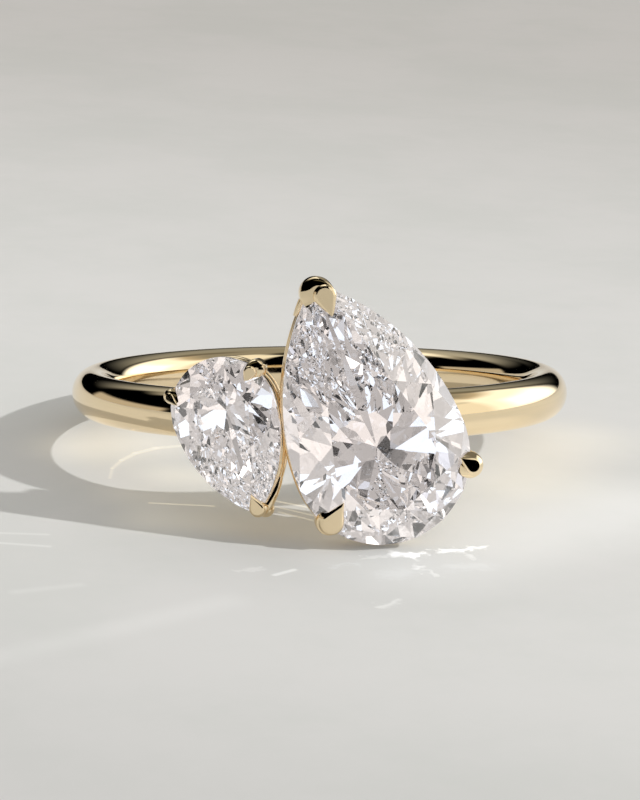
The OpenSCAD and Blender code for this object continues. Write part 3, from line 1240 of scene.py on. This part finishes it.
@dataclass(frozen=True)
class Studio:
    """Surroundings, key light, floor and camera."""

    rest: Rest
    floor_z: float = -2.5
    key_azimuth: float = -11.4
    key_elevation: float = 34.45
    key_strength: float = 1.8
    key_angle: float = 1.6
    key_colour: Colour = (1.0, 0.985, 0.95)
    ambient: Colour = (0.545, 0.53, 0.50)

    reflected: tuple[Card, ...] = (
        Card((-180, 180), (-90, 90), (0, 0, 0)),
        Card((-118, -70), (48, 62), (0.12, 0.11, 0.07), (8, 6)),
        Card((-50, 12), (37, 74), (1.0, 0.98, 0.90), (5, 5)),
        Card((140, 194), (-10, 11), (0.53, 0.48, 0.41), (3, 3)),
        Card((8, 52), (38, 60), (0.6, 0.52, 0.40), (8, 6)),
        Card((-34, 4), (-8, 37), (0.98, 0.94, 0.84), (5, 5)),
        Card((-2, 56), (-8, 43), (1.3, 1.3, 1.25), (5, 5)),
        Card((12, 50), (2, 26), (2.0, 2.0, 2.0), (7, 7)),
        Card((62, 98), (18, 60), (0.31, 0.31, 0.28), (5, 16)),
        Card((96, 190), (54, 90), (0.40, 0.385, 0.32), (10, 8)),
        Card((92, 130), (24, 90), (0.44, 0.44, 0.41), (6, 14)),
        Card((124, 152), (40, 90), (0.42, 0.41, 0.37), (5, 6)),
        Card((96, 146), (48, 90), (1.3, 1.3, 1.25), (8, 6)),
        Card((10, 92), (50, 80), (0.30, 0.29, 0.25), (8, 6)),
        Card((53, 68), (41, 60), (0.18, 0.17, 0.14), (4, 4)),
    )
    through: tuple[Card, ...] = (
        Card((-180, 180), (-90, 90), (0.60, 0.55, 0.53)),
        Card((-115, -50), (6, 32), (1.28, 1.36, 1.52)),
        Card((-95, -35), (-55, -12), (1.20, 1.08, 1.02)),
        Card((-180, -125), (28, 52), DARK),
        Card((60, 115), (25, 62), DARK),
        Card((118, 155), (45, 90), (2.4, 2.2, 2.1)),
        Card((-8, 55), (-15, 9), DARK),
        Card((-10, 60), (9, 32), (1.0, 1.0, 1.1)),
        Card((58, 95), (-50, -12), DARK),
        Card((95, 185), (-55, 0), (0.98, 0.90, 0.86)),
        Card((-150, -120), (-35, -8), (0.03, 0.03, 0.03)),
        Card((-98, -88), (-4, 6), DARK, (2, 2)),
        Card((-74, -64), (34, 60), DARK, (2, 2)),
        Card((-48, -34), (-8, 8), DARK, (2, 2)),
        Card((112, 126), (-40, -24), DARK, (2, 2)),
        Card((-160, -150), (0, 20), DARK, (2, 2)),
        Card((-116, -108), (36, 60), DARK, (2, 2)),
        Card((140, 156), (5, 30), DARK, (2, 2)),
    )

    def sky(
        self, n: Nodes, cards: Sequence[Card], azimuth: NodeSocket, elevation: NodeSocket
    ) -> NodeSocket:
        """Lays cards over each other.

        Each card's weight is the product of two soft windows: one minus a smooth step of the
        distance from the card's middle, round its half size.

        Args:
            n: the world's nodes.
            cards: from the lowest to the uppermost.
            azimuth: socket with the direction's azimuth in degrees.
            elevation: socket with its elevation in degrees.

        Returns:
            The colour's socket.
        """
        colour: NodeSocket | Colour = cards[0].colour
        for card in cards[1:]:
            weights = []
            for value, (low, high), soft in (
                (azimuth, card.azimuth, card.soft[0]),
                (elevation, card.elevation, card.soft[1]),
            ):
                middle, half = (low + high) / 2, (high - low) / 2
                away = n.math("SUBTRACT", value, middle)
                if value is azimuth:
                    away = n.math("WRAP", away, 180.0, -180.0)
                weights.append(n.ramp(n.math("ABSOLUTE", away), half - soft, half + soft, 1.0, 0.0))
            colour = n.mix(n.math("MULTIPLY", *weights), colour, card.colour)
        return colour

    def world(self) -> None:
        """Sets the surroundings: one sky for reflections, one through stones, one that lights."""
        world = bpy.data.worlds.new("studio")
        world.use_nodes = True
        n = Nodes(world.node_tree)
        where = n.add("SeparateXYZ", {0: n.add("TexCoord").outputs["Generated"]})
        azimuth = n.math("DEGREES", n.math("ARCTAN2", where.outputs[1], where.outputs[0]))
        elevation = n.math("DEGREES", n.math("ARCSINE", where.outputs[2]))
        ray = n.add("LightPath")
        seen = self.sky(n, self.reflected, azimuth, elevation)
        inside = self.sky(n, self.through, azimuth, elevation)
        colour = n.mix(ray.outputs["Is Transmission Ray"], seen, inside)
        colour = n.mix(ray.outputs["Is Diffuse Ray"], colour, self.ambient)
        shader = n.add("Background", {"Color": colour, "Strength": 1.0})
        n.add("OutputWorld", {"Surface": shader.outputs[0]})
        bpy.context.scene.world = world

    def key(self) -> None:
        """Adds the light that throws the shadow."""
        lamp = bpy.data.lights.new("key", "SUN")
        lamp.energy = self.key_strength
        lamp.angle = np.radians(self.key_angle)
        lamp.color = self.key_colour
        obj = bpy.data.objects.new("key", lamp)
        flat = turned(self.key_azimuth)
        rise = turned(self.key_elevation)
        towards = np.array([flat[0] * rise[0], flat[1] * rise[0], rise[1]])
        obj.matrix_world = looking(-towards, np.zeros(3))
        obj.visible_glossy = False
        obj.visible_transmission = False
        bpy.context.scene.collection.objects.link(obj)

    def floor(self) -> None:
        """Adds the floor, three metres square."""
        half = 1500.0
        corners = np.array([[-half, -half], [half, -half], [half, half], [-half, half]])
        mesh = Surface(lifted(corners, self.floor_z), [np.arange(4)[None]]).mesh("floor")
        obj = place("floor", mesh, FloorFinish().material())
        obj.visible_transmission = False

    def camera(self) -> None:
        """Adds the camera at the photograph's angle to the ring.

        In the hoop's frame it looks along +y and down by the dip in radians, from its distance in
        millimetres and a little to the side and up, and a millimetre there fills 23.824 pixels.
        """
        away, dip = 124.07, 0.1136
        side, rise = -0.0196, 0.4046
        pixels_per_mm = 23.824
        forward = np.array([0, np.cos(dip), -np.sin(dip)])
        up = np.array([0, np.sin(dip), np.cos(dip)])
        right = np.array([1.0, 0, 0])
        where = -away * forward - side * right - rise * up
        data = bpy.data.cameras.new("camera")
        data.sensor_fit = "VERTICAL"
        data.sensor_height = 36.0
        data.lens = pixels_per_mm * away / PHOTO_HEIGHT * data.sensor_height
        data.clip_start = 0.01
        data.clip_end = 20.0
        obj = bpy.data.objects.new("camera", data)
        to_row = self.rest.to_row
        obj.matrix_world = looking(to_row(forward), to_row(where) * MM, to_row(up))
        bpy.context.scene.collection.objects.link(obj)
        bpy.context.scene.camera = obj

    def settings(self) -> None:
        """Sets how light is traced and shown."""
        view, cycles = bpy.context.scene.view_settings, bpy.context.scene.cycles
        view.view_transform = "Standard"
        view.look = "None"
        view.exposure = 0.0
        view.gamma = 1.0
        cycles.max_bounces = 42
        cycles.transmission_bounces = 40
        cycles.glossy_bounces = 40
        cycles.diffuse_bounces = 3
        cycles.caustics_refractive = False
        cycles.sample_clamp_indirect = 6.0


def looking(forward: Array, where: Array, up: Array | None = None) -> Matrix:
    """A placement whose -z looks forward.

    Args:
        forward: the direction that it looks in.
        where: its place.
        up: roughly its upward direction; +z where none is given.

    Returns:
        A 4x4 matrix.
    """
    back = -unit(forward)
    right = unit(np.cross(np.array([0.0, 0.0, 1.0]) if up is None else up, back))
    made = np.eye(4)
    made[:3, 0], made[:3, 1], made[:3, 2], made[:3, 3] = right, np.cross(back, right), back, where
    return Matrix(made.tolist())


@dataclass(frozen=True)
class Ring:
    """The whole ring, built piece by piece."""

    rest: Rest
    gold: Material
    stone: Material

    def stone_mesh(self, name: str, pear: Pear) -> Mesh:
        """A cut stone's mesh in the row's frame."""
        return hull_mesh(name, self.rest.to_row(pear.to_hoop(CutStone(pear).corners())))

    def cutter(self, pear: Pear) -> Object:
        """A stone with its running space round it, for cutting a head's seat.

        Args:
            pear: the stone.

        Returns:
            The cutting piece, in the row's frame.
        """
        grown = replace(pear.grown(SEAT_GAP), girdle=pear.girdle + 2 * SEAT_GAP)
        cloud = pear.to_hoop(CutStone(grown).corners())
        return place("seat", hull_mesh("seat", self.rest.to_row(cloud)), self.gold)

    def finish_piece(self, obj: Object, slot: Slot, *nodes: str) -> None:
        """Parents a piece to the root body, hides the CAD nodes that it stands for, and keeps gold out
        of sight of rays through the stones.

        Args:
            obj: the piece.
            slot: the slot that its finish is for.
            nodes: the CAD nodes that it stands for.
        """
        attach(obj, "root")
        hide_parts(*nodes)
        obj.visible_transmission = slot is Slot.STONE
        log.info("%s: %d faces", obj.name, len(obj.data.polygons))

    def metal(self) -> Object:
        """Joins the hoop and both heads into one closed piece, and cuts the stones' seats.

        Returns:
            The soldered metal.
        """
        hoop = Band().surface()
        parts = [replace(hoop, points=self.rest.to_row(hoop.points))]
        for pear in (LARGE, SMALL):
            for part in Basket(pear).parts():
                parts.append(replace(part, points=self.rest.to_row(pear.to_hoop(part.points))))
        made = [place("part", s.outward().mesh("part", SHARP), self.gold) for s in parts]
        obj = made[0]
        combine(obj, made[1:], "UNION")
        combine(obj, [self.cutter(LARGE), self.cutter(SMALL)], "DIFFERENCE")
        keep_largest(obj.data)
        obj.name = obj.data.name = "gold_mount"
        shade(obj.data, SHARP)
        return obj

    def build(self) -> None:
        """Builds every piece."""
        self.finish_piece(self.metal(), Slot.GOLD, "gold")
        for name, pear in (("large", LARGE), ("small", SMALL)):
            stone = place(f"{name}_stone", self.stone_mesh(f"{name}_stone", pear), self.stone)
            self.finish_piece(stone, Slot.STONE, f"{name}_pear")


def main() -> None:
    """Builds the ring and its studio."""
    logging.basicConfig(level=logging.INFO, format="%(message)s")
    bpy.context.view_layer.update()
    rest = Rest.from_record()
    Ring(rest, GoldFinish().material(), DiamondFinish().material()).build()
    studio = Studio(rest)
    studio.world()
    studio.key()
    studio.floor()
    studio.camera()
    studio.settings()


if __name__ == "__main__":
    main()
